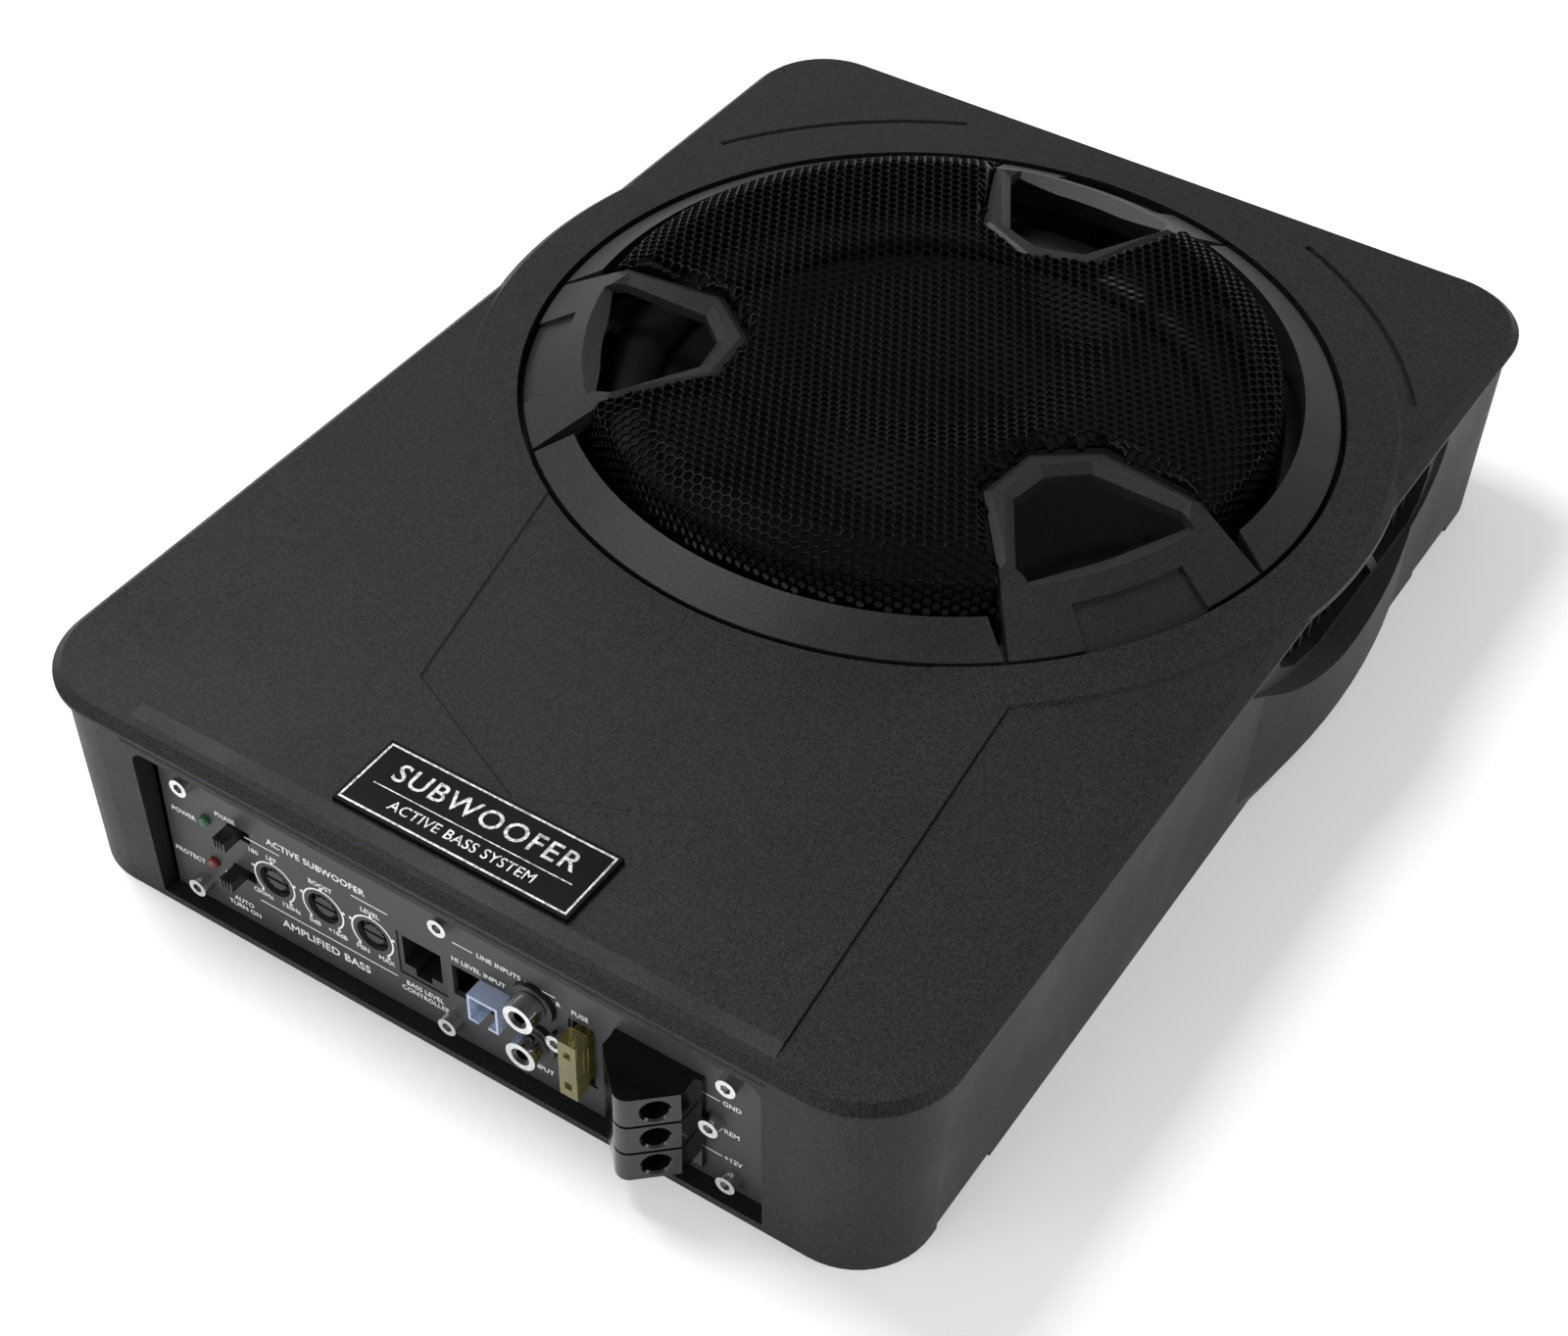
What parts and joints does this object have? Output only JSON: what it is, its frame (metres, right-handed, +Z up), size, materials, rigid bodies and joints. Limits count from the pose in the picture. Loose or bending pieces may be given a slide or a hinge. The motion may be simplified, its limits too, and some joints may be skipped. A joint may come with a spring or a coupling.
{
  "type": "powered car subwoofer",
  "caption": "Flat powered car subwoofer: ribbed ring and grille on top, amplifier control panel recessed in the front, vented sides.",
  "frame": {"origin": "Centre of the resting face, under the middle of the whole object's length and width.", "axes": "X across the case, Y from the control panel (-Y) to the woofer end (+Y), Z up from the resting face."},
  "size_m": [0.255, 0.357, 0.079],
  "materials": {
    "aluminium": "extruded",
    "badge_metal": "anodised black with a bright edge",
    "black_cast": "fine textured black powder coat on die-cast alloy",
    "black_plastic": "moulded black",
    "black_powder_coat": "fine textured black powder coat",
    "black_screw": "black oxide",
    "brass": "plain",
    "capacitor": "dark sleeve",
    "chrome": "bright nickel plate",
    "clear_nylon": "milky translucent",
    "copper": "enamelled copper",
    "ferrite": "ground black ferrite",
    "foam": "closed cell black foam",
    "fuse_plastic": "translucent amber",
    "gloss_black": "glossy moulded black",
    "green_board": "green solder mask",
    "grille_steel": "black powder coated perforated steel",
    "kapton": "amber film",
    "led_green": "green tinted lens",
    "led_red": "red tinted lens",
    "nickel_screw": "bright nickel plate",
    "panel_steel": "semi-matt dark grey paint with white print",
    "paper_cone": "pressed black pulp",
    "ring_plastic": "lightly textured black plastic",
    "rubber": "soft black butyl",
    "spider_cloth": "resin coated cotton",
    "tin": "tinned",
    "wire": "insulated",
    "zinc_steel": "zinc plated"
  },
  "bodies": {
    "case": {"top_cover": "black_powder_coat", "lower_tray": "black_cast", "case_gasket": "foam", "case_screws": "black_screw", "mount_inserts": "brass", "vent_screens": "black_plastic", "badge_plate": "badge_metal", "speaker_ring": "ring_plastic", "ring_screws": "black_screw", "grille": "grille_steel", "woofer_basket": "black_powder_coat", "woofer_gasket": "foam", "woofer_screws": "black_screw", "woofer_terminals": "tin", "surround": "rubber", "spider": "spider_cloth", "magnet": "ferrite", "top_plate": "zinc_steel", "pole_piece": "zinc_steel", "control_panel": "panel_steel", "panel_screws": "nickel_screw", "panel_nuts": "zinc_steel", "power_led": "led_green", "protect_led": "led_red", "phase_switch": "black_plastic", "auto_switch": "black_plastic", "cutoff_pot": "black_plastic", "boost_pot": "black_plastic", "level_pot": "black_plastic", "remote_socket": "black_plastic", "remote_contacts": "brass", "input_header": "clear_nylon", "header_pins": "tin", "rca_block": "black_plastic", "rca_shells": "chrome", "rca_inserts": "gloss_black", "fuse_holder": "black_plastic", "power_terminal": "gloss_black", "main_board": "green_board", "board_standoffs": "brass", "board_screws": "zinc_steel", "capacitors": "capacitor", "toroids": "copper", "power_transistors": "black_plastic", "heat_bar": "aluminium", "speaker_leads": "wire"},
    "woofer_motion": {"cone": "paper_cone", "dust_cap": "paper_cone", "voice_coil_former": "kapton", "voice_coil": "copper"},
    "phase_lever": {"phase_lever": "black_plastic"},
    "auto_lever": {"auto_lever": "black_plastic"},
    "cutoff_knob": {"cutoff_knob": "black_plastic"},
    "boost_knob": {"boost_knob": "black_plastic"},
    "level_knob": {"level_knob": "black_plastic"},
    "fuse": {"blade_fuse": "fuse_plastic", "fuse_blades": "tin"},
    "clamp_screw_1": {"clamp_screw_1": "zinc_steel"},
    "clamp_screw_2": {"clamp_screw_2": "zinc_steel"},
    "clamp_screw_3": {"clamp_screw_3": "zinc_steel"}
  },
  "joints": [
    {"name": "woofer_stroke", "type": "slide", "parent": "case", "child": "woofer_motion", "axis": [0, 0, 1], "range_m": [-0.004, 0.004], "stiffness_N_per_m": 1500, "deforming": ["surround", "spider"]},
    {"name": "cutoff_turn", "type": "hinge", "parent": "case", "child": "cutoff_knob", "pos_m": [-0.0548, -0.1632, 0.0234], "axis": [0, -1, 0], "range_deg": [-140, 140]},
    {"name": "boost_turn", "type": "hinge", "parent": "case", "child": "boost_knob", "pos_m": [-0.0397, -0.1632, 0.0234], "axis": [0, -1, 0], "range_deg": [-140, 140]},
    {"name": "level_turn", "type": "hinge", "parent": "case", "child": "level_knob", "pos_m": [-0.0246, -0.1632, 0.0234], "axis": [0, -1, 0], "range_deg": [-140, 140]},
    {"name": "phase_slide", "type": "slide", "parent": "case", "child": "phase_lever", "axis": [1, 0, 0], "range_m": [0, 0.0026]},
    {"name": "auto_slide", "type": "slide", "parent": "case", "child": "auto_lever", "axis": [1, 0, 0], "range_m": [0, 0.0026]},
    {"name": "fuse_pull", "type": "slide", "parent": "case", "child": "fuse", "axis": [0, -1, 0], "range_m": [0, 0.02]},
    {"name": "clamp_turn_1", "type": "hinge", "parent": "case", "child": "clamp_screw_1", "pos_m": [0.05089, -0.17285, 0.01383], "axis": [-0.7112, -0.703, 0], "range_deg": [0, 450]},
    {"name": "clamp_turn_2", "type": "hinge", "parent": "case", "child": "clamp_screw_2", "pos_m": [0.05089, -0.17285, 0.0235], "axis": [-0.7112, -0.703, 0], "range_deg": [0, 450]},
    {"name": "clamp_turn_3", "type": "hinge", "parent": "case", "child": "clamp_screw_3", "pos_m": [0.05089, -0.17285, 0.03317], "axis": [-0.7112, -0.703, 0], "range_deg": [0, 450]}
  ]
}
